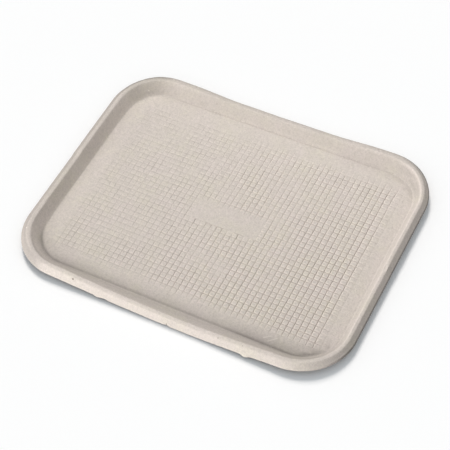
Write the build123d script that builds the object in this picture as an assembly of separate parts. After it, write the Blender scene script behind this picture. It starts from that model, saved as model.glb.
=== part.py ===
"""Shallow serving tray of moulded pulp: one pressed sheet with a sloped wall and a turned-down rim."""
import os
from math import cos, radians, sin, tan

from build123d import *

# Overall sizes, in millimetres. The origin is on the underside, at the middle of the floor.
overall_length = 457.2
overall_width = 355.6
overall_height = 16.0
corner_radius = 70.0
fibre_thickness = 2.2

# Rim section, from the trimmed outer edge inwards. Angles are in degrees from the level.
skirt_drop = 6.6
skirt_angle = 42.0
crest_width = 5.2
crest_outer_radius = 2.8
crest_inner_radius = 2.4
wall_angle = 50.0
floor_radius = 2.4
least_bend_radius = 0.2

# Anti-slip field pressed into the floor: crossed V grooves round a smooth panel.
field_margin = 8.0
groove_pitch = 15.24
groove_width = 1.8
groove_depth = 0.5
panel_columns = 6
panel_rows = 2

# One overrun serves every cut.
cut_overrun = 1.0


def run_of(height, angle):
    """Level run of a slope of the given angle over a height."""
    return height / tan(radians(angle))


# Where the section's lines would meet if its bends were sharp, as (distance in from the edge, height).
skirt_run = run_of(skirt_drop, skirt_angle)
wall_run = run_of(overall_height - fibre_thickness, wall_angle)
skirt_foot = (0, overall_height - skirt_drop)
crest_outer = (skirt_run, overall_height)
crest_inner = (skirt_run + crest_width, overall_height)
wall_foot = (skirt_run + crest_width + wall_run, fibre_thickness)

# The floor is flat from where the curve at the wall's foot ends.
floor_inset = wall_foot[0] + floor_radius * tan(radians(wall_angle / 2))
floor_length = overall_length - 2 * floor_inset
floor_width = overall_width - 2 * floor_inset


def rim_section():
    """Closed section of skirt, crest and wall down to the flat floor, one fibre thickness all along."""
    skirt_gap = fibre_thickness / cos(radians(skirt_angle))
    wall_gap = fibre_thickness / sin(radians(wall_angle)) - run_of(fibre_thickness, wall_angle)
    under_crest = overall_height - fibre_thickness
    under_skirt_foot = skirt_foot[1] - skirt_gap
    section_end = floor_inset + fibre_thickness

    def inside_of(radius):
        """Radius on the hollow side of a bend, kept above the sharpest bend that the fibre takes."""
        return max(radius - fibre_thickness, least_bend_radius)

    top_line = FilletPolyline(
        skirt_foot,
        crest_outer,
        crest_inner,
        wall_foot,
        (section_end, fibre_thickness),
        radius=[crest_outer_radius, crest_inner_radius, floor_radius],
    )
    under_line = FilletPolyline(
        (0, under_skirt_foot),
        (run_of(under_crest - under_skirt_foot, skirt_angle), under_crest),
        (crest_inner[0] - wall_gap, under_crest),
        (wall_foot[0] - wall_gap, 0),
        (section_end, 0),
        radius=[
            inside_of(crest_outer_radius),
            inside_of(crest_inner_radius),
            floor_radius + fibre_thickness,
        ],
    )
    trimmed_edge = Line(top_line @ 0, under_line @ 0)
    inner_end = Line(top_line @ 1, under_line @ 1)
    return make_face([top_line, under_line, trimmed_edge, inner_end])


def rim():
    """The section carried round the tray's outline, square to it all the way."""
    outline = RectangleRounded(overall_length, overall_width, corner_radius).wire()
    inwards = Vector(0, 0, 1).cross(outline % 0)
    section_plane = Plane(outline @ 0, x_dir=inwards, z_dir=inwards.cross(Vector(0, 0, 1)))
    return sweep(section_plane * rim_section(), path=outline)


def groove(start, end):
    """V-shaped cutter along a straight line on the floor's top face, open above it by the overrun."""
    line = Edge.make_line((*start, fibre_thickness), (*end, fibre_thickness))
    half_top = groove_width / 2 * (1 + cut_overrun / groove_depth)
    outline = Polyline((-half_top, cut_overrun), (0, -groove_depth), (half_top, cut_overrun), close=True)
    plane = Plane(line @ 0, x_dir=Vector(0, 0, 1).cross(line % 0), z_dir=line % 0)
    return extrude(plane * make_face(outline), amount=line.length)


def groove_lines(flat_length):
    """Places of the grooves along one direction of the floor: as many cells as fit, about the middle."""
    cells = int((flat_length - 2 * field_margin) / groove_pitch)
    return [(line - cells / 2) * groove_pitch for line in range(cells + 1)]


def grooves():
    """All groove cutters. Those that meet the smooth panel stop at the grooves along its edges."""
    columns = groove_lines(floor_length)
    rows = groove_lines(floor_width)
    first_column = (len(columns) - panel_columns) // 2
    first_row = (len(rows) - panel_rows) // 2
    left, right = columns[first_column], columns[first_column + panel_columns]
    front, back = rows[first_row], rows[first_row + panel_rows]
    cutters = []
    for x in columns:
        runs = [(rows[0], front), (back, rows[-1])] if left < x < right else [(rows[0], rows[-1])]
        cutters += [groove((x, low), (x, high)) for low, high in runs]
    for y in rows:
        whole = (columns[0], columns[-1])
        runs = [(columns[0], left), (right, columns[-1])] if front < y < back else [whole]
        cutters += [groove((low, y), (high, y)) for low, high in runs]
    return cutters


def floor():
    """Flat floor inside the rim section, with its grooved field."""
    slab = RectangleRounded(floor_length, floor_width, corner_radius - floor_inset)
    return extrude(slab, amount=fibre_thickness) - grooves()


def tray():
    """The whole tray as one piece."""
    return rim() + floor()


os.makedirs("parts", exist_ok=True)
export_step(tray(), "parts/tray.step")
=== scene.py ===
"""Dresses the packed food tray: one moulded sheet of pulp with its pressed floor, its warp and its finish."""
from math import cos, hypot, pi, radians, sin, tan

import bmesh
import bpy
from mathutils import Matrix, Vector, noise


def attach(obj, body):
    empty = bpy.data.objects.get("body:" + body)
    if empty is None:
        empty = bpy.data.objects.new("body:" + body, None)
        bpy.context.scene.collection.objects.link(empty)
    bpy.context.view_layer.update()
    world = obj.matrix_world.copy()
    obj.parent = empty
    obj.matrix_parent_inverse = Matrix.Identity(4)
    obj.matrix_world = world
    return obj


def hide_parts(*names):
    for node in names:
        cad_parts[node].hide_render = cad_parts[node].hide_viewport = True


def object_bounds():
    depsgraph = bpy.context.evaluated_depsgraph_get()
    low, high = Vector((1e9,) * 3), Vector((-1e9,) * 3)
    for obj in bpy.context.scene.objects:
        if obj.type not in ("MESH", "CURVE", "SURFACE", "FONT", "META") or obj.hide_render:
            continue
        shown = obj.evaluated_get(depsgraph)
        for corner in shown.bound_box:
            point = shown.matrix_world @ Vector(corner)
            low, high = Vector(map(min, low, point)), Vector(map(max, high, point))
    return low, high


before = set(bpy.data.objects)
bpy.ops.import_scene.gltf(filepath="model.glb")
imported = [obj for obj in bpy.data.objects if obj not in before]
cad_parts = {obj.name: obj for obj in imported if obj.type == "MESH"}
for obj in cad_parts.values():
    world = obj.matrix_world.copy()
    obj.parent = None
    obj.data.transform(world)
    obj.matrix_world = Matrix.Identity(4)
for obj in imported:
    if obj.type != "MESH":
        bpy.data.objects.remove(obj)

bl_info = {
    "name": "Moulded Fibre Tray",
    "version": (1, 0, 0),
    "blender": (4, 5, 0),
    "location": "3D View > Sidebar > Tray",
    "description": "Models a slightly warped food tray of moulded pulp and sets it on a pale floor",
    "category": "Add Mesh",
}

MM = 0.001
TRAY_NODE = "tray"
TRAY_BODY = "root"
TRAY_NAME = "moulded_tray"

# Points nearer to each other than this count as one.
NEAR = 0.02 * MM

# Flat stretches of the rim's section longer than this are cut up, so that they can bend.
LONG_STRETCH = 4 * MM
STRETCH_CUTS = 3

# Wander of the groove lines: grain along X and along Y, and scatter of the single crossings.
WANDER_GRAIN_X = 40 * MM
WANDER_GRAIN_Y = 55 * MM
CROSSING_SCATTER = 0.22 * MM
SCATTER_SEED = 5

# Strength of the pressing: its mean, its rise towards the front right, the grain of wide patches and of
# single cells and how far they stray from it, the layer of the noise that the cells read, the shares of the
# pitch between which it fades in from the field's edge, and the least of it.
MEAN_STRENGTH = 0.70
STRENGTH_RISE = 0.27
PATCH_GRAIN = 48 * MM
PATCH_STRAY = 0.3
CELL_GRAIN = 13 * MM
CELL_STRAY = 0.4
CELL_LAYER = 9.0
FADE_START_SHARE = 0.3
FADE_END_SHARE = 2.9
LEAST_STRENGTH = 0.06

# Patches of the floor where the grooves are worn: middle and reach, in millimetres. Wear takes a share of the
# strength, all of it within a share of the reach.
WORN_PATCHES = ((-6.0, -74.0, 20.0), (30.0, -76.0, 16.0), (11.0, -146.0, 20.0))
WEAR_SHARE = 0.5
WORN_CORE_SHARE = 0.4

# Towards the left the grooves get shallower and carry more painted shade: start and end of the change along
# X, and the share of the depth that is lost.
LEFT_START = 40 * MM
LEFT_END = -100 * MM
LEFT_LOSS_SHARE = 0.4

# Painted highlight on a pad's border, as shares on its left half and its right half, which count at the
# tray's right, and on its front half and its back half, which count at the tray's left: the halves that face
# the lamps are painted paler.
COLUMN_HIGHLIGHT_SHARES = (1.0, 0.2)
ROW_HIGHLIGHT_SHARES = (0.45, 0.1)

# Lifted ends of the back rim: first and last distance from mid length, and the fade beyond them.
BACK_ENDS = (140 * MM, 190 * MM, 70 * MM)

# Shift of the short walls' feet: how far past the corners' centres it is full, and, at the left, how far
# before and past them along the wall it rises.
SHIFT_RISE = 35 * MM
CORNER_BEFORE = 30 * MM
CORNER_PAST = 20 * MM

# Half width of the crease, and how far in from the outline the ragged trim and its flaws reach.
CREASE_REACH = 2.6 * MM
RAGGED_REACH = 4 * MM
FLAW_REACH = 5 * MM

# Grain of the waves in the sheet, and octaves of the shortest.
SLOW_WAVE_GRAIN = 70 * MM
RIPPLE_GRAIN = 16 * MM
RAGGED_GRAIN = 5 * MM
RAGGED_OCTAVES = 3

# Flaws of the front's trimmed edge: place along it, reach, drop and outward shift, in millimetres.
TRIM_FLAWS = {
    "trim_high": (20.0, 300.0, -0.5, -0.9),
    "trim_tab": (115.0, 8.0, 1.8, 1.4),
    "trim_chip": (10.0, 4.0, -1.0, -0.8),
    "trim_step": (-87.0, 6.0, 0.7, 0.7),
    "trim_nick": (-76.0, 5.0, -0.7, -0.6),
}

# Edges of the trim that turn by more than this angle are rounded in a few steps.
TRIM_ANGLE = radians(25.0)
TRIM_STEPS = 3

# Points of the underside below this height are set down on the table.
REST_HEIGHT = 0.3 * MM

# Painted light and shade that each group of pressed points brings: painted shade in the grooves, painted
# highlight on the pads' borders and more painted shade in the grooves at the left.
PAINTED_PRESSING_LIGHT = {"grooves": -0.06, "pad_borders": 0.32, "dull_grooves": -0.2}

# Sides of the tray, as outward directions.
FRONT = (0, -1)
BACK = (0, 1)
RIGHT = (1, 0)
LEFT = (-1, 0)

# Bands of painted light and shade along the sides, where the pulp is painted paler or darker to stand in for
# how the light falls on skirt, crest, wall, crease and floor: side; first and last distance in from the
# outline and the fade beyond them; first and last place along the side, all in millimetres; change of level.
WHOLE_SIDE = (-300.0, 300.0)
PAINTED_LIGHT_BANDS = (
    # Painted highlight on the front skirt and crest.
    (FRONT, (-6.0, 9.0, 4.0), WHOLE_SIDE, 0.05),
    # Painted shade in the crease at the front wall's foot.
    (FRONT, (24.0, 26.0, 4.0), WHOLE_SIDE, -0.07),
    (FRONT, (24.8, 25.6, 1.8), WHOLE_SIDE, -0.19),
    (FRONT, (24.4, 26.0, 2.4), (105.0, 170.0), -0.12),
    (FRONT, (22.0, 26.0, 4.0), (-190.0, -150.0), -0.08),
    # Painted shade on the floor along the front wall.
    (FRONT, (27.0, 33.0, 12.0), WHOLE_SIDE, -0.07),
    (FRONT, (26.0, 29.0, 3.0), WHOLE_SIDE, -0.06),
    (FRONT, (27.0, 38.0, 8.0), (105.0, 170.0), -0.05),
    # Painted shade on the right's trimmed edge and skirt.
    (RIGHT, (-3.0, 0.4, 0.8), (-125.0, 300.0), -0.62),
    (RIGHT, (2.0, 6.0, 1.0), WHOLE_SIDE, -0.06),
    # Painted highlight on the right crest, painted shade on the right wall.
    (RIGHT, (7.6, 11.6, 0.6), WHOLE_SIDE, 0.03),
    (RIGHT, (12.6, 18.0, 0.9), WHOLE_SIDE, -0.12),
    (RIGHT, (18.0, 20.5, 2.0), WHOLE_SIDE, -0.08),
    # Painted shade on the left lip and wall, painted light on the floor beside them, and both at the front
    # left corner.
    (LEFT, (-4.0, 6.0, 3.0), WHOLE_SIDE, -0.36),
    (LEFT, (10.0, 22.0, 2.0), WHOLE_SIDE, -0.04),
    (LEFT, (28.0, 36.0, 20.0), WHOLE_SIDE, 0.08),
    (LEFT, (5.0, 13.0, 2.0), (-190.0, -130.0), -0.07),
    (LEFT, (15.0, 24.0, 2.0), (-190.0, -150.0), 0.12),
    # Painted shade on the back crest, wall and crease.
    (BACK, (-6.0, 9.0, 3.0), WHOLE_SIDE, -0.08),
    (BACK, (13.0, 22.0, 3.0), WHOLE_SIDE, -0.15),
    (BACK, (24.5, 26.0, 1.5), WHOLE_SIDE, -0.07),
    (BACK, (22.0, 27.0, 2.0), (110.0, 190.0), -0.08),
    (BACK, (22.0, 27.0, 2.0), (-190.0, -110.0), -0.05),
)

# Fade of a band beyond its ends, in millimetres, and its rise outwards from the corners' centres.
SIDE_FADE = 40.0
BAND_RISE = 30 * MM

# Marks on the face: place in millimetres, reach and how far they darken it (below 0) or whiten it.
MARKS = (
    ((-123.4, -173.9, 12.1), 1.5, -0.95),
    ((78.1, -174.0, 11.1), 1.0, -0.6),
    ((109.9, -172.3, 12.3), 1.0, -0.5),
    ((-94.8, 161.3, 9.4), 1.1, -0.5),
    ((223.2, -73.7, 14.0), 1.2, -0.5),
    ((-191.9, 145.1, 9.0), 1.3, 0.9),
    ((-217.1, -131.6, 15.0), 1.3, 0.9),
    ((-96.6, -153.4, 1.6), 1.0, 0.6),
    ((10.0, -178.8, 3.6), 1.2, -0.9),
    ((8.5, -179.2, 2.7), 1.2, 1.0),
)

# Pale streaks and dark lines painted at the front right for wrinkles and folds that have no relief: painted
# highlight on the folds and painted shade along the crease at the wall's foot. Start and end in millimetres,
# reach and strength as for the marks.
PAINTED_FOLDS = (
    ((124.2, -145.3, 2.2), (131.4, -139.6, 2.2), 1.0, 0.7),
    ((131.2, -147.5, 2.2), (139.4, -139.8, 2.2), 1.0, 0.6),
    ((126.0, -155.2, 2.2), (137.0, -155.3, 2.4), 1.6, -0.12),
    ((142.0, -155.3, 2.5), (157.0, -155.8, 2.6), 1.5, -0.25),
)

# A mark or streak has its full strength within this share of its reach.
MARK_CORE_SHARE = 0.5
STREAK_CORE_SHARE = 0.3

# Patterns in the pulp, as grain in millimetres, detail and roughness of the noise.
CLOUDS = (46.0, 2.0, 0.5)
FLOCKS = (9.0, 3.0, 0.5)
MOTTLE = (3.2, 2.0, 0.6)
FELT = (1.6, 3.0, 0.6)
FIBRES = (5.5, 2.0, 0.55)
FIBRE_PATCHES = (7.0, 1.0, 0.5)
SPECK_SPACING = 8.0

# Levels of those patterns, or for fibres and specks distances from their middles, between which masks rise.
CLOUD_RISE = (0.40, 0.62)
FLOCK_RISE = (0.3, 0.7)
FIBRE_RISE = (0.012, 0.002)
FIBRE_PATCH_RISE = (0.5, 0.62)
SPECK_RISE = (0.06, 0.03)
SPECK_PICK_RISE = (0.90, 0.95)

# Shade of the darkest pulp, what the patterns add to it, and how strongly fibres and specks cover it.
LEAST_SHADE = 0.69
FLOCK_SHADE = 0.06
MOTTLE_SHADE = 0.28
FELT_SHADE = 0.26
FIBRE_COVER = 0.35
SPECK_COVER = 0.6

# Relief of the felted grain: its height, and what the patterns add to it.
GRAIN_HEIGHT = 0.6 * MM
FLOCK_RELIEF = 0.35
MOTTLE_RELIEF = 0.5
FELT_RELIEF = 0.6
FIBRE_RELIEF = 0.2

# Gloss of the pulp, and how far its roughness varies.
PULP_SPECULAR = 0.25
ROUGHNESS_SPREAD = 0.12

# Rays that see the world as plain white.
WHITE_RAYS = ("Is Camera Ray", "Is Glossy Ray", "Is Transmission Ray")

# Lamps, as bearing off the front, height over the horizon and spread, in degrees.
HIGH_LAMP = (-60.0, 60.0, 20.0)
LOW_LAMP = (-32.0, 14.0, 26.0)
FLOOR_LAMP = (-147.0, 44.0, 19.0)
FLOOR_FILL = (0.0, 89.0, 150.0)

# Places of the soft boxes, in metres.
BACK_BOX = (0.0, 0.5, 0.6)
FRONT_BOX = (-0.5, -0.5, 0.35)

cad_low, cad_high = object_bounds()
cad_size = cad_high - cad_low


# Properties

def length(name, description, millimetres):
    """A length that a user can change, given in millimetres."""
    return bpy.props.FloatProperty(
        name=name, description=description, default=millimetres * MM, unit="LENGTH"
    )


def angle(name, description, degrees):
    """An angle that a user can change, given in degrees."""
    return bpy.props.FloatProperty(
        name=name, description=description, default=radians(degrees), subtype="ANGLE"
    )


def count(name, description, default):
    """A whole number that a user can change."""
    return bpy.props.IntProperty(name=name, description=description, default=default, min=1)


def share(name, description, default):
    """A factor that a user can change."""
    return bpy.props.FloatProperty(name=name, description=description, default=default, min=0.0)


def colour(name, description, default):
    """A linear colour that a user can change."""
    return bpy.props.FloatVectorProperty(
        name=name, description=description, default=default, size=3, subtype="COLOR", min=0.0, max=1.0
    )


class TrayForm(bpy.types.PropertyGroup):
    """Moulded form of the tray, before it warped."""

    length: length("Length", "Outside length along X", cad_size.x / MM)
    width: length("Width", "Outside width along Y", cad_size.y / MM)
    height: length("Height", "Height of the rim's crest over the table", cad_size.z / MM)
    corner_radius: length("Corner radius", "Radius of the outline's corners", 70.0)
    thickness: length("Thickness", "Thickness of the pressed fibre", 2.2)
    skirt_drop: length("Skirt drop", "Fall of the turned-down skirt from the crest to its trimmed edge", 6.6)
    skirt_angle: angle("Skirt angle", "Slope of the skirt from the level", 42.0)
    crest_width: length("Crest width", "Width of the crest between its bends", 5.2)
    crest_outer_radius: length("Outer crest radius", "Radius of the bend from crest to skirt", 2.8)
    crest_inner_radius: length("Inner crest radius", "Radius of the bend from crest to wall", 2.4)
    wall_angle: angle("Wall angle", "Slope of the inner wall from the level", 50.0)
    floor_radius: length("Floor radius", "Radius of the curve at the wall's foot", 2.4)
    edge_radius: length("Edge radius", "Rounding of the trimmed edge", 0.6)
    front_trim: share("Front trim", "How much of its upright trim the front has lost", 0.8)
    long_steps: count("Long steps", "Mesh steps along each long side", 130)
    side_steps: count("Side steps", "Mesh steps along each short side", 60)
    corner_steps: count("Corner steps", "Mesh steps round each corner", 24)
    bend_steps: count("Bend steps", "Mesh steps over each bend of the section", 5)


class FloorPressing(bpy.types.PropertyGroup):
    """Anti-slip field pressed into the floor."""

    pitch: length("Pitch", "Spacing of the grooves", 7.62)
    columns: count("Columns", "Cells along X", 51)
    rows: count("Rows", "Cells along Y", 37)
    shift_x: length("Shift X", "Offset of the field along X", 1.5)
    shift_y: length("Shift Y", "Offset of the field along Y", -0.9)
    groove_width: length("Groove width", "Width of a groove's own floor", 0.2)
    groove_slope: length("Groove slope", "Width of each steep side of a groove", 0.32)
    groove_depth: length("Groove depth", "Depth of a crisp groove", 1.0)
    shoulder: length("Shoulder", "Width of the bevel round each pad", 0.3)
    # The pale border of each pad is painted highlight.
    pad_border: length("Pad border", "Width of the pale border of each pad", 1.2)
    row_share: share("Row share", "Width of the grooves along X as a share of those along Y", 1.4)
    shoulder_drop: share("Shoulder drop", "Share of the depth that the bevel round each pad takes", 0.3)
    crisp_angle: angle("Crisp angle", "Turn of the face above which a pressed edge stays sharp", 12.0)
    waviness: length("Waviness", "How far the groove lines wander", 1.1)
    panel_left: length("Panel left", "Left edge of the smooth panel", -40.8)
    panel_right: length("Panel right", "Right edge of the smooth panel", 51.4)
    panel_front: length("Panel front", "Front edge of the smooth panel", -20.0)
    panel_back: length("Panel back", "Back edge of the smooth panel", 15.6)


class TrayWarp(bpy.types.PropertyGroup):
    """How this tray has warped since it was moulded."""

    front_lean: angle("Front lean", "Greatest outward turn of the front wall about its foot", 15.0)
    front_bow: length("Front bow", "Greatest further outward shift of the front rim", 1.8)
    front_middle: length("Front middle", "Place along the front where its wall leans most", 20.0)
    front_left_reach: length("Left reach", "How far the front's lean runs to the left", 243.0)
    front_right_reach: length("Right reach", "How far the front's lean runs to the right", 183.0)
    back_lean: angle("Back lean", "Outward turn of the back wall about its foot at mid length", 4.0)
    back_lift: length("Back lift", "Rise of the back rim towards its ends", 2.0)
    back_spread: length("Back spread", "Outward shift of the back rim towards its ends", 1.3)
    sag: length("Sag", "Further drop of the long rims at mid length", 1.3)
    right_shift: length("Right shift", "Outward shift of the right wall's foot", 4.7)
    left_shift: length("Left shift", "Inward shift of the wall's foot at the left corners", 2.2)
    shift_fade: length("Shift fade", "How far these shifts reach into the floor", 60.0)
    crease: length("Crease", "Depth of the crease along the feet of the long walls", 1.1)
    straight_end: length("Straight end", "Length at each end of a long rim that keeps its height", 35.0)
    unevenness: length("Unevenness", "Height of the slow waves all over the sheet", 0.7)
    ripple: length("Ripple", "Height of the short waves along rim and wall", 0.35)
    raggedness: length("Raggedness", "Roughness of the trimmed edge", 0.5)


class PulpFinish(bpy.types.PropertyGroup):
    """Colours and roughness of the pulp."""

    base: colour("Base", "Main colour of the pulp", (0.650, 0.584, 0.527))
    rosy: colour("Rosy", "Slightly pinker pulp, in wide clouds", (0.654, 0.582, 0.534))
    sandy: colour("Sandy", "Slightly yellower pulp, in wide clouds", (0.648, 0.588, 0.513))
    fibre: colour("Fibre", "Pale single fibres", (0.74, 0.68, 0.61))
    speck: colour("Speck", "Dark specks of bark and ink", (0.20, 0.16, 0.12))
    roughness: share("Roughness", "Mean roughness of the pressed face", 0.88)


class StudioStage(bpy.types.PropertyGroup):
    """Floor, light and camera."""

    floor: colour("Floor", "Colour of the pale floor", (0.985, 0.985, 0.985))
    floor_size: length("Floor size", "Side of the square floor", 16000.0)
    ambient: share("Ambient", "Level of the even light from all round", 0.25)
    cool: colour("Cool", "Tint of the even light", (0.97, 0.99, 1.0))
    shade_tint: colour("Shade tint", "Tint of the floor's fill, and so of the shadow", (0.86, 0.935, 1.0))
    warm: colour("Warm", "Tint of the floor's lamp, which makes up for the cool lights", (1.0, 0.948, 0.90))
    high_light: share("High light", "Level of the high lamp at the left on a flat face", 0.335)
    low_light: share("Low light", "Level of the low lamp at the front left on a flat face", 0.125)
    box_size: length("Box size", "Side of each soft box", 300.0)
    back_watts: share("Back box", "Power of the soft box behind the tray, in watts", 1.75)
    front_watts: share("Front box", "Power of the soft box at the front left, in watts", 1.15)
    floor_light: share("Floor light", "Level of the floor's own lamp, which casts the shadow", 0.47895)
    floor_fill: share("Floor fill", "Level of the light that fills the shadow on the floor", 0.3215)
    focal_length: bpy.props.FloatProperty(
        name="Focal length", description="Focal length on a 36 mm sensor", default=109.4, unit="CAMERA"
    )
    camera_azimuth: angle("Camera azimuth", "Camera's bearing, from the front towards the right", 30.55)
    camera_elevation: angle("Camera elevation", "Camera's height over the horizon", 52.62)
    camera_roll: angle("Camera roll", "Turn of the camera about its own axis", -4.61)
    camera_distance: length("Camera distance", "Distance from the camera to the tray's middle", 1739.8)
    aim_right: length("Aim right", "Offset of the aim to the picture's right", -0.4)
    aim_up: length("Aim up", "Offset of the aim to the picture's top", -20.2)


# Places on the tray

def smooth_step(value, low, high):
    """0 below low, 1 above high and a smooth rise between, also where low is above high."""
    place = min(1.0, max(0.0, (value - low) / (high - low)))
    return place * place * (3.0 - 2.0 * place)


def band(value, first, last, fade):
    """1 between two values and a smooth fall to 0 beyond them."""
    return smooth_step(value, first - fade, first) * smooth_step(value, last + fade, last)


class Section:
    """Corner points of the rim's section, as (distance in from the edge, height), and places on its plan."""

    def __init__(self, form):
        skirt_run = form.skirt_drop / tan(form.skirt_angle)
        wall_run = (form.height - form.thickness) / tan(form.wall_angle)
        self.skirt_foot = (0.0, form.height - form.skirt_drop)
        self.crest_outer = (skirt_run, form.height)
        self.crest_inner = (skirt_run + form.crest_width, form.height)
        self.wall_foot = (self.crest_inner[0] + wall_run, form.thickness)
        self.floor_inset = self.wall_foot[0] + form.floor_radius * tan(form.wall_angle / 2)
        self.floor_end = (self.floor_inset + form.thickness, form.thickness)
        self.wall_start = self.floor_inset - form.floor_radius * sin(form.wall_angle)
        self.corner_radius = form.corner_radius
        self.corner_x = form.length / 2 - form.corner_radius
        self.corner_y = form.width / 2 - form.corner_radius

    def inset(self, point):
        """How far a point lies in from the tray's outline."""
        beyond_x = max(abs(point.x) - self.corner_x, 0.0)
        beyond_y = max(abs(point.y) - self.corner_y, 0.0)
        return self.corner_radius - hypot(beyond_x, beyond_y)

    def on_rim(self, point):
        """0 on the floor, 1 from the wall's start outwards and a smooth rise between."""
        return smooth_step(self.inset(point), self.floor_inset, self.wall_start)


# Modelling helpers

def edit(piece, kind="EDGE"):
    """Opens a piece for work on its edges, faces or points, with nothing selected."""
    bpy.context.view_layer.objects.active = piece
    bpy.ops.object.mode_set(mode="EDIT")
    bpy.ops.mesh.select_mode(type=kind)
    bpy.ops.mesh.select_all(action="DESELECT")


def close():
    """Leaves edit mode."""
    bpy.ops.object.mode_set(mode="OBJECT")


def select(piece, kind, chosen):
    """Selects, in edit mode, just the points, edges or faces that pass a test."""
    bpy.ops.mesh.select_all(action="DESELECT")
    shape = bmesh.from_edit_mesh(piece.data)
    for part in getattr(shape, kind):
        if chosen(part):
            part.select_set(True)
    shape.select_flush_mode()
    bmesh.update_edit_mesh(piece.data)


def all_points(test):
    """Test of an edge or face that holds where each of its points passes."""
    return lambda part: all(test(vertex.co) for vertex in part.verts)


def apply_modifier(piece, kind, **settings):
    """Adds a modifier with its settings and applies it."""
    bpy.ops.object.select_all(action="DESELECT")
    piece.select_set(True)
    bpy.context.view_layer.objects.active = piece
    bpy.ops.object.modifier_add(type=kind)
    modifier = piece.modifiers[-1]
    for name, value in settings.items():
        setattr(modifier, name, value)
    bpy.ops.object.modifier_apply(modifier=modifier.name)


def weigh(piece, name, weight):
    """Vertex group whose weights follow each point's place."""
    group = piece.vertex_groups.new(name=name)
    for vertex in piece.data.vertices:
        amount = weight(vertex)
        if amount > 0.0:
            group.add([vertex.index], min(amount, 1.0), "REPLACE")
    return name


def push(piece, direction, distance, group):
    """Moves a group of points by their weights."""
    apply_modifier(
        piece, "DISPLACE", direction=direction, strength=distance, mid_level=0.0, vertex_group=group
    )


def ruffle(piece, name, direction, height, grain, octaves=2, group=""):
    """Moves a group of points, or all, to and fro by a cloud pattern of the given grain."""
    texture = bpy.data.textures.new(name, "CLOUDS")
    texture.noise_scale = grain
    texture.noise_depth = octaves
    apply_modifier(
        piece, "DISPLACE", direction=direction, strength=height, mid_level=0.5, texture=texture,
        texture_coords="LOCAL", vertex_group=group,
    )


# Rim

def run_straight(step, steps):
    """Carries the selected end of the rim along a straight side."""
    for _ in range(steps):
        bpy.ops.mesh.extrude_edges_move(TRANSFORM_OT_translate={"value": step})


def turn_corner(x, y, steps):
    """Carries the selected end of the rim round a corner, to the left seen from above."""
    bpy.ops.mesh.spin(steps=steps, angle=-pi / 2, center=(x, y, 0.0), axis=(0.0, 0.0, 1.0))


def bent_strip(form, section, step):
    """First step of the front rim: skirt, crest, wall and floor edge as one strip with rounded bends."""
    edge_y = -form.width / 2
    foot, outer, inner = section.skirt_foot, section.crest_outer, section.crest_inner
    bpy.ops.mesh.primitive_plane_add(size=1.0)
    strip = bpy.context.object
    edit(strip)
    bpy.ops.mesh.select_all(action="SELECT")
    bpy.ops.transform.resize(value=(step, outer[0], 1.0))
    bpy.ops.transform.translate(value=(step / 2 - section.corner_x, edge_y + outer[0] / 2, foot[1]))
    select(strip, "edges", all_points(lambda point: point.y > edge_y + NEAR))
    bpy.ops.transform.translate(value=(0.0, 0.0, outer[1] - foot[1]))
    bends = (outer, inner, section.wall_foot, section.floor_end)
    for here, following in zip(bends, bends[1:]):
        bpy.ops.mesh.extrude_edges_move(
            TRANSFORM_OT_translate={"value": (0.0, following[0] - here[0], following[1] - here[1])}
        )
    for bend, radius, turn in (
        (outer, form.crest_outer_radius, form.skirt_angle),
        (inner, form.crest_inner_radius, form.wall_angle),
        (section.wall_foot, form.floor_radius, form.wall_angle),
    ):
        select(strip, "edges", all_points(
            lambda point: abs(point.y - edge_y - bend[0]) < NEAR and abs(point.z - bend[1]) < NEAR
        ))
        bpy.ops.mesh.bevel(
            offset_type="OFFSET", offset=radius * tan(turn / 2), segments=form.bend_steps, affect="EDGES"
        )
    select(strip, "edges", lambda part: part.calc_length() > LONG_STRETCH and is_across(part))
    bpy.ops.mesh.subdivide(number_cuts=STRETCH_CUTS)
    return strip


def is_across(part):
    """Whether an edge of the first strip runs across the rim."""
    first, last = part.verts
    return abs(first.co.x - last.co.x) < NEAR


def rim_sheet(form, section):
    """Top face of the rim, run along the front and on round the tray until it closes."""
    long_step = 2 * section.corner_x / form.long_steps
    side_step = 2 * section.corner_y / form.side_steps
    sheet = bent_strip(form, section, long_step)
    select(sheet, "edges", all_points(lambda point: point.x > long_step / 2 - section.corner_x))
    run_straight((long_step, 0.0, 0.0), form.long_steps - 1)
    turn_corner(section.corner_x, -section.corner_y, form.corner_steps)
    run_straight((0.0, side_step, 0.0), form.side_steps)
    turn_corner(section.corner_x, section.corner_y, form.corner_steps)
    run_straight((-long_step, 0.0, 0.0), form.long_steps)
    turn_corner(-section.corner_x, section.corner_y, form.corner_steps)
    run_straight((0.0, -side_step, 0.0), form.side_steps)
    turn_corner(-section.corner_x, -section.corner_y, form.corner_steps)
    bpy.ops.mesh.select_all(action="SELECT")
    bpy.ops.mesh.remove_doubles(threshold=NEAR)
    close()
    return sheet


# Pressed floor

def boundary_points(piece):
    """Indices of the points on a sheet's open edges."""
    used = {}
    for face in piece.data.polygons:
        for key in face.edge_keys:
            used[key] = used.get(key, 0) + 1
    return {index for key, uses in used.items() if uses == 1 for index in key}


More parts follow.
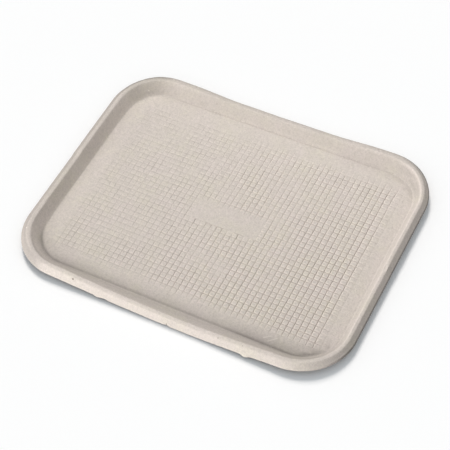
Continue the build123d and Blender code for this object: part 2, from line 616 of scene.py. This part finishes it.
def groove_strength(point, field):
    """How crisply the grooves are pressed at a point of the floor, from 0 to 1."""
    half_x = field.columns * field.pitch / 2
    half_y = field.rows * field.pitch / 2
    margin = min(half_x - abs(point.x - field.shift_x), half_y - abs(point.y - field.shift_y))
    fade = smooth_step(margin, FADE_START_SHARE * field.pitch, FADE_END_SHARE * field.pitch)
    if field.panel_left < point.x < field.panel_right and field.panel_front < point.y < field.panel_back:
        return 0.0
    patch = PATCH_STRAY * noise.noise(Vector((point.x, point.y, 0.0)) / PATCH_GRAIN)
    cell = CELL_STRAY * noise.noise(Vector((point.x, point.y, CELL_LAYER)) / CELL_GRAIN)
    side = MEAN_STRENGTH + STRENGTH_RISE * (point.x - point.y) / half_x
    worn = max(
        smooth_step(hypot(point.x - x * MM, point.y - y * MM), reach * MM, WORN_CORE_SHARE * reach * MM)
        for x, y, reach in WORN_PATCHES
    )
    return max(LEAST_STRENGTH, fade * (side + patch + cell) * (1.0 - WEAR_SHARE * worn))


def at_left(point):
    """0 at the right of the floor, 1 at its left and a smooth rise between."""
    return smooth_step(point.x, LEFT_START, LEFT_END)


def half_share(cells, shares):
    """The first share in the first half of a cell and the second in its other half."""
    return shares[0] if cells % 1.0 < 0.5 else shares[1]


class Pressing:
    """What each point of the pressed field is part of, told by its index, and how strongly it is pressed."""

    def __init__(self, field, outer_points, counts):
        self.field = field
        self.outer_points = outer_points
        self.groove_end, self.shoulder_end, self.border_end = counts

    def depth(self, vertex):
        """Share of the greatest depth: all of the strength in the grooves and some of it on the shoulders."""
        if vertex.index in self.outer_points or vertex.index >= self.shoulder_end:
            return 0.0
        pressed = groove_strength(vertex.co, self.field) * (1.0 - LEFT_LOSS_SHARE * at_left(vertex.co))
        return pressed if vertex.index < self.groove_end else self.field.shoulder_drop * pressed

    def dull(self, vertex):
        """How much painted shade a groove gets, which it does only at the left."""
        if vertex.index in self.outer_points or vertex.index >= self.groove_end:
            return 0.0
        return groove_strength(vertex.co, self.field) * at_left(vertex.co)

    def border(self, vertex):
        """How much painted highlight the border of a pad gets, most on the halves that face the lamps."""
        if not self.shoulder_end <= vertex.index < self.border_end:
            return 0.0
        field = self.field
        column = (vertex.co.x - field.shift_x) / field.pitch + field.columns / 2
        row = (vertex.co.y - field.shift_y) / field.pitch + field.rows / 2
        left = at_left(vertex.co)
        by_column = half_share(column, COLUMN_HIGHLIGHT_SHARES)
        by_row = half_share(row, ROW_HIGHLIGHT_SHARES)
        return groove_strength(vertex.co, field) * (by_column * (1.0 - left) + by_row * left)


def field_grid(form, section, field):
    """Flat grid of the field's cells, as far as the floor is flat, with lines that wander a little."""
    bpy.ops.object.select_all(action="DESELECT")
    bpy.ops.mesh.primitive_grid_add(x_subdivisions=field.columns, y_subdivisions=field.rows, size=1.0)
    sheet = bpy.context.object
    edit(sheet, "FACE")
    bpy.ops.mesh.select_all(action="SELECT")
    bpy.ops.transform.resize(value=(field.columns * field.pitch, field.rows * field.pitch, 1.0))
    bpy.ops.transform.translate(value=(field.shift_x, field.shift_y, form.thickness))
    flat_start = section.floor_end[0]
    select(sheet, "faces", lambda face: any(section.inset(vertex.co) < flat_start for vertex in face.verts))
    bpy.ops.mesh.delete(type="FACE")
    close()
    ruffle(sheet, "groove_wander_x", "X", field.waviness, WANDER_GRAIN_X)
    ruffle(sheet, "groove_wander_y", "Y", field.waviness, WANDER_GRAIN_Y)
    edit(sheet, "FACE")
    bpy.ops.mesh.select_all(action="SELECT")
    bpy.ops.transform.vertex_random(offset=CROSSING_SCATTER, uniform=0.0, normal=0.0, seed=SCATTER_SEED)
    bpy.ops.transform.resize(value=(1.0, 1.0, 0.0), center_override=(0.0, 0.0, form.thickness))
    close()
    return sheet


def stretch(sheet, factor):
    """Makes a sheet wider along Y by a factor."""
    edit(sheet, "FACE")
    bpy.ops.mesh.select_all(action="SELECT")
    bpy.ops.transform.resize(value=(1.0, factor, 1.0), center_override=(0.0, 0.0, 0.0))
    close()


def inset_pads(sheet, field):
    """Insets cells to groove, slope, shoulder and border. Gives the point counts after the first three."""
    counts = [0]
    stretch(sheet, 1.0 / field.row_share)
    for width in (field.groove_width / 2, field.groove_slope, field.shoulder, field.pad_border):
        edit(sheet, "FACE")
        select(sheet, "faces", lambda face: all(vertex.index >= counts[-1] for vertex in face.verts))
        counts.append(len(sheet.data.vertices))
        bpy.ops.mesh.inset(thickness=width, use_individual=True)
        close()
    stretch(sheet, field.row_share)
    return counts[2:]


def pressed_floor(form, section, field):
    """Field of pads between crossed grooves, with the smooth panel left in it."""
    sheet = field_grid(form, section, field)
    outer_points = boundary_points(sheet)
    pressing = Pressing(field, outer_points, inset_pads(sheet, field))
    # Painted highlight on the pads' borders.
    weigh(sheet, "pad_borders", pressing.border)
    # Painted shade in the grooves at the left.
    weigh(sheet, "dull_grooves", pressing.dull)
    # The grooves group gives the depth and also carries painted shade.
    push(sheet, "Z", -field.groove_depth, weigh(sheet, "grooves", pressing.depth))
    return sheet


# Tray

def fill_margin(sheet, form):
    """Closes the smooth margin between the pressed field and the rim."""
    edit(sheet)
    select(sheet, "edges", lambda part: part.is_boundary and all_points(
        lambda point: abs(point.z - form.thickness) < NEAR
    )(part))
    bpy.ops.mesh.fill(use_beauty=True)
    bpy.ops.mesh.select_all(action="SELECT")
    bpy.ops.mesh.normals_make_consistent(inside=False)
    close()


class WarpShares:
    """How much of each part of the warp a point of the sheet takes, from 0 to 1."""

    def __init__(self, form, section, bends):
        self.form = form
        self.section = section
        self.bends = bends
        self.held = form.length / 2 - bends.straight_end

    def along_rim(self, point):
        """Share of its greatest lean that a long wall has at a point's place along it."""
        if point.y > 0.0:
            return max(0.0, 1.0 - (point.x / self.held) ** 2)
        off = point.x - self.bends.front_middle
        part = off / (self.bends.front_right_reach if off > 0.0 else self.bends.front_left_reach)
        return max(0.0, 1.0 - part ** 2) ** 2

    def lean(self, point):
        """How far out and down a point of a long wall has gone, as shares of the tray's height."""
        section, bends = self.section, self.bends
        front = point.y < 0.0
        along = self.along_rim(point) * section.on_rim(point)
        turn = along * (bends.front_lean if front else bends.back_lean)
        out = section.wall_foot[0] - section.inset(point)
        rise = point.z - self.form.thickness
        bow = bends.front_bow * along if front else 0.0
        shift_out = out * (cos(turn) - 1.0) + rise * sin(turn) + bow
        shift_down = out * sin(turn) + rise * (1.0 - cos(turn)) + bends.sag * along
        return shift_out / self.form.height, shift_down / self.form.height

    def back_ends(self, point):
        """Lift and spread of the back rim's ends."""
        section = self.section
        ends = band(abs(point.x), *BACK_ENDS) * (point.y > 0.0)
        return ends * smooth_step(section.inset(point), section.floor_inset, section.crest_inner[0])

    def foot_shift(self, point, side):
        """Shift of the foot of the right (1) or left (-1) wall, which fades into the floor and the rim."""
        section = self.section
        inset = section.inset(point)
        across = min(max(inset, 0.0) / section.floor_inset, 1.0)
        across *= smooth_step(inset, section.floor_inset + self.bends.shift_fade, section.floor_inset)
        return across * smooth_step(side * point.x, section.corner_x, section.corner_x + SHIFT_RISE)

    def near_corner(self, point):
        """How near a point of a short wall is to the corners."""
        corner = self.section.corner_y
        return smooth_step(abs(point.y), corner - CORNER_BEFORE, corner + CORNER_PAST)

    def crease(self, point):
        """Crease at the foot of a long wall."""
        off = abs(self.section.inset(point) - self.section.floor_inset)
        along = max(0.0, 1.0 - (point.x / self.held) ** 4)
        return along * smooth_step(off, CREASE_REACH, 0.0) * (abs(point.y) > self.section.corner_y)

    def flaw(self, point, place, reach):
        """One flaw of the front's trimmed edge, about its place along it."""
        at_edge = smooth_step(self.section.inset(point), FLAW_REACH, 0.0)
        return (point.y < 0.0) * at_edge * smooth_step(abs(point.x - place), reach, 0.0)


def warp(sheet, form, section, bends):
    """Lets the long walls lean out and their rims sag, and the whole sheet go a little uneven."""
    shares = WarpShares(form, section, bends)
    groups = {
        "rim_down": lambda point: shares.lean(point)[1],
        "front_out": lambda point: shares.lean(point)[0] * (point.y < 0.0),
        "back_out": lambda point: shares.lean(point)[0] * (point.y > 0.0),
        "back_ends": shares.back_ends,
        "right_out": lambda point: shares.foot_shift(point, 1),
        "left_in": lambda point: shares.foot_shift(point, -1) * shares.near_corner(point),
        "creased": shares.crease,
        "rim": section.on_rim,
        "trimmed_edge": lambda point: smooth_step(section.inset(point), RAGGED_REACH, 0.0),
    }
    for name, share_at in groups.items():
        weigh(sheet, name, lambda vertex: share_at(vertex.co))
    push(sheet, "Z", -form.height, "rim_down")
    push(sheet, "Y", -form.height, "front_out")
    push(sheet, "Y", form.height, "back_out")
    push(sheet, "Z", bends.back_lift, "back_ends")
    push(sheet, "Y", bends.back_spread, "back_ends")
    push(sheet, "X", bends.right_shift, "right_out")
    push(sheet, "X", bends.left_shift, "left_in")
    push(sheet, "Z", -bends.crease, "creased")
    ruffle(sheet, "slow_waves", "Z", bends.unevenness, SLOW_WAVE_GRAIN)
    ruffle(sheet, "rim_ripple", "NORMAL", bends.ripple, RIPPLE_GRAIN, group="rim")
    ruffle(sheet, "ragged_trim", "Z", bends.raggedness, RAGGED_GRAIN, RAGGED_OCTAVES, "trimmed_edge")
    for name, (place, reach, drop, out) in TRIM_FLAWS.items():
        weigh(sheet, name, lambda vertex: shares.flaw(vertex.co, place * MM, reach * MM))
        push(sheet, "Z", -drop * MM, name)
        push(sheet, "Y", -out * MM, name)


def thicken(sheet, form, section):
    """Gives the sheet its thickness, with an upright cut along the trimmed edge."""
    top_points = len(sheet.data.vertices)
    apply_modifier(
        sheet, "SOLIDIFY", thickness=form.thickness, offset=-1.0,
        use_even_offset=True, use_quality_normals=True,
    )
    edit(sheet, "VERT")
    select(sheet, "verts", lambda vertex: vertex.index >= top_points and any(
        edge.other_vert(vertex).index < top_points for edge in vertex.link_edges
    ))
    leant_in = form.thickness * sin(form.skirt_angle)
    upright = form.thickness * (1.0 / cos(form.skirt_angle) - cos(form.skirt_angle))
    bpy.ops.transform.resize(value=(
        form.length / (form.length - 2 * leant_in), form.width / (form.width - 2 * leant_in), 1.0
    ), center_override=(0.0, 0.0, 0.0))
    close()

    def under_trim(vertex):
        """How much of the drop to an upright cut a point of its lower edge takes, less at the front."""
        lower = vertex.index >= top_points and section.inset(vertex.co) < form.thickness / 2
        return lower * (1.0 - form.front_trim * smooth_step(-vertex.co.y, section.corner_y, form.width / 2))

    push(sheet, "Z", -upright, weigh(sheet, "trim_under", under_trim))


def turns_by(part, least):
    """Whether the faces beside an edge turn by more than an angle."""
    return part.is_manifold and part.calc_face_angle() > least


def finish_edges(sheet, form, section, field):
    """Rounds the trimmed edge and keeps the edges of the pressing sharp."""
    edit(sheet)
    select(sheet, "edges", lambda part: (
        turns_by(part, TRIM_ANGLE) and section.inset(part.verts[0].co) < form.thickness
    ))
    bpy.ops.mesh.bevel(offset_type="OFFSET", offset=form.edge_radius, segments=TRIM_STEPS, affect="EDGES")
    select(sheet, "edges", lambda part: (
        turns_by(part, field.crisp_angle) and section.inset(part.verts[0].co) > section.floor_end[0]
    ))
    bpy.ops.mesh.mark_sharp()
    close()


def set_down(sheet):
    """Makes the underside of the floor flat, so that the tray rests on the table."""
    edit(sheet, "VERT")
    select(sheet, "verts", lambda vertex: vertex.co.z < REST_HEIGHT)
    bpy.ops.transform.resize(value=(1.0, 1.0, 0.0), center_override=(0.0, 0.0, 0.0))
    close()


def painted_band_light(point, section):
    """Painted light and shade that the bands along the sides bring at a point."""
    inset = section.inset(point) / MM
    change = 0.0
    for (x, y), across, (start, end), amount in PAINTED_LIGHT_BANDS:
        out = point.x * x + point.y * y
        along = (point.x * abs(y) + point.y * abs(x)) / MM
        straight = section.corner_x * abs(x) + section.corner_y * abs(y)
        if out > straight:
            amount *= smooth_step(out - straight, 0.0, BAND_RISE) * band(along, start, end, SIDE_FADE)
            change += amount * band(inset, *across)
    return change


def tone(tray, section):
    """Notes on each point the painted light and shade there, from the pressing and the bands."""
    pressed = {tray.vertex_groups[name].index: change for name, change in PAINTED_PRESSING_LIGHT.items()}
    painted_levels = tray.data.attributes.new("tone", "FLOAT", "POINT")
    for vertex in tray.data.vertices:
        change = sum(group.weight * pressed.get(group.group, 0.0) for group in vertex.groups)
        painted_levels.data[vertex.index].value = 1.0 + change + painted_band_light(vertex.co, section)


# Materials

class Wire:
    """One socket of a material. Sums written on wires become Math nodes."""

    def __init__(self, material, socket):
        self.material = material
        self.socket = socket

    def math(self, operation, *values):
        """The wire of a Math node on the given values."""
        inputs = dict(zip(("Value", "Value_001"), values))
        return self.material.add("ShaderNodeMath", {"operation": operation}, inputs)

    def __add__(self, other):
        return self.math("ADD", self, other)

    def __radd__(self, other):
        return self.math("ADD", other, self)

    def __sub__(self, other):
        return self.math("SUBTRACT", self, other)

    def __rsub__(self, other):
        return self.math("SUBTRACT", other, self)

    def __mul__(self, other):
        return self.math("MULTIPLY", self, other)

    def __rmul__(self, other):
        return self.math("MULTIPLY", other, self)

    def __abs__(self):
        return self.math("ABSOLUTE", self)

    def larger(self, other):
        """The larger of two values."""
        return self.math("MAXIMUM", self, other)

    def ramp(self, low, high):
        """Smooth rise from 0 at low to 1 at high. Low may be above high."""
        settings = {"interpolation_type": "SMOOTHSTEP"}
        if low < high:
            return self.material.add(
                "ShaderNodeMapRange", settings, {"Value": self, "From Min": low, "From Max": high}
            )
        return 1.0 - self.ramp(high, low)


class Material:
    """A node material under construction."""

    def __init__(self, tree):
        self.tree = tree
        self.tree.nodes.clear()

    def add(self, kind, settings=None, inputs=None, output=0):
        """Adds a node with its settings and its sockets' values or wires. Gives the wire of one output."""
        node = self.tree.nodes.new(kind)
        for name, value in (settings or {}).items():
            setattr(node, name, value)
        for key, value in (inputs or {}).items():
            socket = next((s for s in node.inputs if s.identifier == key), None) or node.inputs[key]
            if isinstance(value, Wire):
                self.tree.links.new(value.socket, socket)
            else:
                socket.default_value = value
        return Wire(self, node.outputs[output]) if len(node.outputs) else node

    def mix(self, factor, first, second):
        """Blend of two colours."""
        return self.add(
            "ShaderNodeMix", {"data_type": "RGBA"},
            {"Factor_Float": factor, "A_Color": first, "B_Color": second}, "Result",
        )

    def vector(self, operation, inputs, output="Vector"):
        """The wire of a Vector Math node."""
        return self.add("ShaderNodeVectorMath", {"operation": operation}, inputs, output)

    def cloud(self, place, grain, detail, roughness):
        """Soft noise of the given grain, in the place's own unit, about one half."""
        return self.add("ShaderNodeTexNoise", None, {
            "Vector": place, "Scale": 1.0 / grain, "Detail": detail, "Roughness": roughness
        })

    def off_line(self, place, start, end):
        """Distance of a place from the straight line between two points."""
        run = end - start
        off = self.vector("SUBTRACT", {"Vector": place, "Vector_001": start})
        along = self.vector("DOT_PRODUCT", {"Vector": off, "Vector_001": run / run.length_squared}, "Value")
        held = self.add("ShaderNodeClamp", None, {"Value": along})
        nearest = self.vector("SCALE", {"Vector": run, "Scale": held})
        return self.vector("DISTANCE", {"Vector": off, "Vector_001": nearest}, "Value")


def rgba(values):
    """A colour property as a socket takes it."""
    return (*values, 1.0)


def new_material(name):
    """A new material, and its nodes under construction."""
    made = bpy.data.materials.new(name)
    made.use_nodes = True
    return made, Material(made.node_tree)


def fibre_mask(material, place):
    """Where single fibres show, which they do in patches."""
    strand = material.cloud(place, *FIBRES)
    patches = material.cloud(place, *FIBRE_PATCHES)
    return abs(strand - 0.5).ramp(*FIBRE_RISE) * patches.ramp(*FIBRE_PATCH_RISE)


def speck_mask(material, place):
    """Where specks lie: in the middle of a few cells, picked by lot."""
    pattern = {"Vector": place, "Scale": 1.0 / SPECK_SPACING}
    off = material.add("ShaderNodeTexVoronoi", {"feature": "F1"}, pattern, "Distance")
    lots = material.add("ShaderNodeTexVoronoi", {"feature": "F1"}, pattern, "Color")
    picked = material.add("ShaderNodeSeparateColor", None, {"Color": lots})
    return off.ramp(*SPECK_RISE) * picked.ramp(*SPECK_PICK_RISE)


def marked(material, place, body, finish):
    """The pulp's colour with this tray's marks on it, and the streaks of painted highlight and shade for its
    wrinkles and folds.
    """
    spots = [
        (material.vector("DISTANCE", {"Vector": place, "Vector_001": centre}, "Value"),
         reach, MARK_CORE_SHARE * reach, strength)
        for centre, reach, strength in MARKS
    ]
    lines = [
        (material.off_line(place, Vector(start), Vector(end)), reach, STREAK_CORE_SHARE * reach, strength)
        for start, end, reach, strength in PAINTED_FOLDS
    ]
    for off, reach, core, strength in spots + lines:
        stain_or_painted_fold = rgba(finish.fibre if strength > 0.0 else finish.speck)
        body = material.mix(off.ramp(reach, core) * abs(strength), body, stain_or_painted_fold)
    return body


def pulp(finish):
    """Pressed pulp: cloudy colour, pale fibres, dark specks, a felted grain and the painted light and shade
    noted on the points.
    """
    made, material = new_material("pressed_pulp")
    metres = material.add("ShaderNodeTexCoord", None, None, "Object")
    place = material.vector("SCALE", {"Vector": metres, "Scale": 1.0 / MM})
    clouds = material.cloud(place, *CLOUDS)
    flocks = material.cloud(place, *FLOCKS)
    mottle = material.cloud(place, *MOTTLE)
    felt = material.cloud(place, *FELT)
    fibres = fibre_mask(material, place)
    specks = speck_mask(material, place)
    tint = material.mix(clouds.ramp(*CLOUD_RISE), rgba(finish.rosy), rgba(finish.sandy))
    body = material.mix(flocks.ramp(*FLOCK_RISE), rgba(finish.base), tint)
    # Painted light and shade noted on the points scale the colour, together with the random mottle.
    painted_levels = material.add("ShaderNodeAttribute", {"attribute_name": "tone"}, None, "Fac")
    shade = painted_levels * (LEAST_SHADE + FLOCK_SHADE * flocks + MOTTLE_SHADE * mottle + FELT_SHADE * felt)
    mottled_and_painted = material.vector("SCALE", {"Vector": body, "Scale": shade})
    haired = material.mix(fibres * FIBRE_COVER, mottled_and_painted, rgba(finish.fibre))
    specked = material.mix(specks * SPECK_COVER, haired, rgba(finish.speck))
    grain = FELT_RELIEF * felt + MOTTLE_RELIEF * mottle + FLOCK_RELIEF * flocks + FIBRE_RELIEF * fibres
    bump = material.add("ShaderNodeBump", None, {"Strength": 1.0, "Distance": GRAIN_HEIGHT, "Height": grain})
    surface = material.add("ShaderNodeBsdfPrincipled", None, {
        "Base Color": marked(material, place, specked, finish),
        "Roughness": finish.roughness - ROUGHNESS_SPREAD / 2 + ROUGHNESS_SPREAD * felt,
        "Normal": bump,
        "Specular IOR Level": PULP_SPECULAR,
    })
    material.add("ShaderNodeOutputMaterial", None, {"Surface": surface})
    return made


def floor_paint(stage):
    """Plain pale matt floor."""
    made, material = new_material("pale_floor")
    surface = material.add("ShaderNodeBsdfPrincipled", None, {
        "Base Color": rgba(stage.floor), "Roughness": 1.0, "Specular IOR Level": 0.0
    })
    material.add("ShaderNodeOutputMaterial", None, {"Surface": surface})
    return made


def world_light(stage):
    """Even light from all round, which shows itself as white."""
    world = bpy.data.worlds.new("studio")
    world.use_nodes = True
    material = Material(world.node_tree)
    camera, glossy, transmission = (
        material.add("ShaderNodeLightPath", None, None, ray) for ray in WHITE_RAYS
    )
    seen = camera.larger(glossy).larger(transmission)
    light = material.add("ShaderNodeBackground", None, {"Color": rgba(stage.cool), "Strength": stage.ambient})
    white = material.add("ShaderNodeBackground", None, {"Color": (1.0, 1.0, 1.0, 1.0), "Strength": 1.0})
    shown = material.add("ShaderNodeMixShader", None, {"Fac": seen, "Shader": light, "Shader_001": white})
    material.add("ShaderNodeOutputWorld", None, {"Surface": shown})
    return world


# Operators

class MouldedTray(bpy.types.Operator):
    """Model the tray: rim, pressed floor, warp, thickness and pulp finish"""

    bl_idname = "object.moulded_tray"
    bl_label = "Moulded Tray"

    def execute(self, context):
        scene = context.scene
        form = scene.tray_form
        section = Section(form)
        bpy.ops.object.select_all(action="DESELECT")
        tray = rim_sheet(form, section)
        tray.name = tray.data.name = TRAY_NAME
        floor = pressed_floor(form, section, scene.tray_pressing)
        bpy.ops.object.select_all(action="DESELECT")
        floor.select_set(True)
        tray.select_set(True)
        context.view_layer.objects.active = tray
        bpy.ops.object.join()
        fill_margin(tray, form)
        warp(tray, form, section, scene.tray_warp)
        thicken(tray, form, section)
        finish_edges(tray, form, section, scene.tray_pressing)
        set_down(tray)
        bpy.ops.object.shade_smooth()
        tone(tray, section)
        tray.vertex_groups.clear()
        tray.data.materials.append(pulp(scene.tray_finish))
        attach(tray, TRAY_BODY)
        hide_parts(TRAY_NODE)
        return {"FINISHED"}


class TrayStage(bpy.types.Operator):
    """Set up the pale floor, the soft light and the camera"""

    bl_idname = "scene.tray_stage"
    bl_label = "Tray Stage"

    def execute(self, context):
        scene = context.scene
        stage = scene.tray_stage_set
        bpy.ops.object.select_all(action="DESELECT")
        bpy.ops.mesh.primitive_plane_add(size=stage.floor_size)
        floor = context.object
        floor.name = "pale_floor"
        floor.data.materials.append(floor_paint(stage))
        scene.world = world_light(stage)
        tray = bpy.data.objects[TRAY_NAME]
        self.lamp(context, "high_lamp", stage.high_light, HIGH_LAMP, tray)
        self.lamp(context, "low_lamp", stage.low_light, LOW_LAMP, tray)
        self.soft_box(context, "back_box", stage, stage.back_watts, BACK_BOX, tray)
        self.soft_box(context, "front_box", stage, stage.front_watts, FRONT_BOX, tray)
        key = self.lamp(context, "floor_lamp", stage.floor_light, FLOOR_LAMP, floor)
        key.data.color = stage.warm
        fill = self.lamp(context, "floor_fill", stage.floor_fill, FLOOR_FILL, floor)
        fill.data.color = stage.shade_tint
        self.camera(context, stage, scene.tray_form)
        scene.view_settings.view_transform = "Standard"
        return {"FINISHED"}

    def lamp(self, context, name, level, bearing, target):
        """Soft distant lamp on one object, from a bearing off the front, a height and a spread in degrees."""
        azimuth, elevation, spread = (radians(degrees) for degrees in bearing)
        bpy.ops.object.light_add(type="SUN")
        lamp = context.object
        lamp.name = name
        lamp.data.energy = pi * level / sin(elevation)
        lamp.data.angle = spread
        lamp.rotation_euler = (pi / 2 - elevation, 0.0, azimuth)
        self.light_only(lamp, target)
        return lamp

    def soft_box(self, context, name, stage, watts, place, target):
        """Square soft box near the tray, turned to its middle."""
        bpy.ops.object.light_add(type="AREA", location=place)
        lamp = context.object
        lamp.name = name
        lamp.data.energy = watts
        lamp.data.size = stage.box_size
        lamp.rotation_euler = (-Vector(place)).to_track_quat("-Z", "Y").to_euler()
        self.light_only(lamp, target)

    def light_only(self, lamp, target):
        """Keeps a lamp's light to one object."""
        lit = bpy.data.collections.new("lit_by_" + lamp.name)
        lit.objects.link(target)
        lamp.light_linking.receiver_collection = lit

    def camera(self, context, stage, form):
        """Camera that looks down on the tray from its front right."""
        turn, rise, roll = stage.camera_azimuth, stage.camera_elevation, stage.camera_roll
        back = Vector((sin(turn) * cos(rise), -cos(turn) * cos(rise), sin(rise)))
        level = Vector((cos(turn), sin(turn), 0.0))
        upright = back.cross(level)
        right = level * cos(roll) + upright * sin(roll)
        up = upright * cos(roll) - level * sin(roll)
        aim = Vector((0.0, 0.0, form.height)) + right * stage.aim_right + up * stage.aim_up
        bpy.ops.object.camera_add()
        camera = context.object
        camera.name = "camera"
        camera.data.lens = stage.focal_length
        axes = Matrix((right, up, back)).transposed().to_4x4()
        camera.matrix_world = Matrix.Translation(aim + back * stage.camera_distance) @ axes
        context.scene.camera = camera


class TrayPanel(bpy.types.Panel):
    """Sidebar panel with the tray's sizes, finish and stage"""

    bl_idname = "VIEW3D_PT_moulded_tray"
    bl_label = "Moulded Tray"
    bl_space_type = "VIEW_3D"
    bl_region_type = "UI"
    bl_category = "Tray"

    def draw(self, context):
        for name, group in SETTINGS.items():
            box = self.layout.box()
            box.label(text=group.__doc__)
            for setting in group.__annotations__:
                box.prop(getattr(context.scene, name), setting)
        self.layout.operator(MouldedTray.bl_idname)
        self.layout.operator(TrayStage.bl_idname)


SETTINGS = {
    "tray_form": TrayForm,
    "tray_pressing": FloorPressing,
    "tray_warp": TrayWarp,
    "tray_finish": PulpFinish,
    "tray_stage_set": StudioStage,
}
CLASSES = (*SETTINGS.values(), MouldedTray, TrayStage, TrayPanel)


def register():
    """Registers the classes and hangs the settings on the scene."""
    for item in CLASSES:
        bpy.utils.register_class(item)
    for name, group in SETTINGS.items():
        setattr(bpy.types.Scene, name, bpy.props.PointerProperty(type=group))


def unregister():
    """Takes the settings and classes away again."""
    for name in SETTINGS:
        delattr(bpy.types.Scene, name)
    for item in reversed(CLASSES):
        bpy.utils.unregister_class(item)


def main():
    """Models the tray on its stage."""
    register()
    bpy.ops.object.moulded_tray()
    bpy.ops.scene.tray_stage()


if __name__ == "__main__":
    main()
